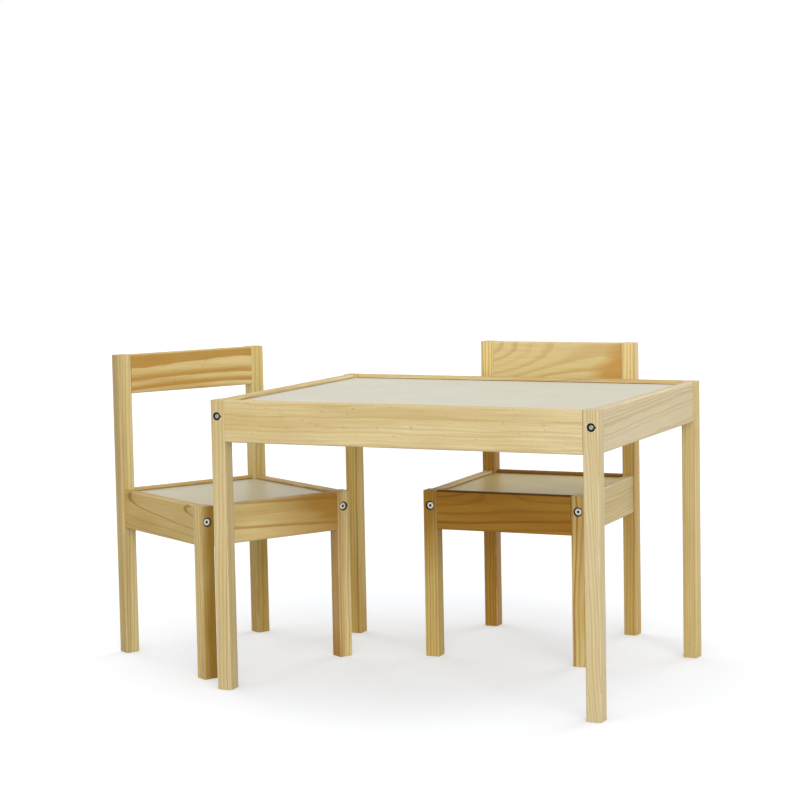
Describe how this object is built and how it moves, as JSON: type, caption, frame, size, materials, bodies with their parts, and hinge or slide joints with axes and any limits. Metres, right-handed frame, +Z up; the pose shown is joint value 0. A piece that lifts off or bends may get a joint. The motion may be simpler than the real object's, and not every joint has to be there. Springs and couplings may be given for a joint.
{
  "type": "kids table and chairs",
  "caption": "Low rectangular pine table with a sunken off-white top and matching small square chairs with a single backrest board, bolted from flat rails and square legs.",
  "frame": {"origin": "on the floor, at the middle of the box round the whole set as it stands: the table with one chair at its left end and one at its back", "axes": "+X along the table's long side to the right of someone at its front, +Y from the table's front to its back, +Z up"},
  "size_m": [0.927, 0.6174, 0.5],
  "materials": {
    "table_pine": "bare sanded pine, pale straw with fine straight grain and small flecks",
    "chair_pine": "bare sanded pine, straw to golden brown with bold grain bands",
    "off_white_board": "thin fibreboard with a smooth satin off-white face",
    "zinc_steel": "bright zinc plate",
    "black_steel": "blackened steel",
    "beech": "plain turned beech"
  },
  "bodies": {
    "table": {"table_front_left_leg": "table_pine", "table_front_right_leg": "table_pine", "table_back_left_leg": "table_pine", "table_back_right_leg": "table_pine", "table_front_rail": "table_pine", "table_back_rail": "table_pine", "table_left_rail": "table_pine", "table_right_rail": "table_pine", "table_panel": "off_white_board", "table_bolts": "zinc_steel", "table_cup_washers": "black_steel", "table_barrel_nuts": "zinc_steel", "table_dowels": "beech"},
    "left_chair": {"left_chair_front_left_leg": "chair_pine", "left_chair_front_right_leg": "chair_pine", "left_chair_back_left_post": "chair_pine", "left_chair_back_right_post": "chair_pine", "left_chair_front_rail": "chair_pine", "left_chair_back_rail": "chair_pine", "left_chair_left_rail": "chair_pine", "left_chair_right_rail": "chair_pine", "left_chair_backrest": "chair_pine", "left_chair_seat_panel": "off_white_board", "left_chair_bolts": "zinc_steel", "left_chair_barrel_nuts": "zinc_steel", "left_chair_dowels": "beech"},
    "right_chair": {"right_chair_front_left_leg": "chair_pine", "right_chair_front_right_leg": "chair_pine", "right_chair_back_left_post": "chair_pine", "right_chair_back_right_post": "chair_pine", "right_chair_front_rail": "chair_pine", "right_chair_back_rail": "chair_pine", "right_chair_left_rail": "chair_pine", "right_chair_right_rail": "chair_pine", "right_chair_backrest": "chair_pine", "right_chair_seat_panel": "off_white_board", "right_chair_bolts": "zinc_steel", "right_chair_barrel_nuts": "zinc_steel", "right_chair_dowels": "beech"}
  },
  "joints": [
    {"name": "left_chair_slide", "type": "slide", "parent": "table", "child": "left_chair", "axis": [-0.866, 0.5, 0], "range_m": [-0.045, 0.35]},
    {"name": "right_chair_slide", "type": "slide", "parent": "table", "child": "right_chair", "axis": [-0.0175, 0.9998, 0], "range_m": [-0.1, 0.35]}
  ]
}
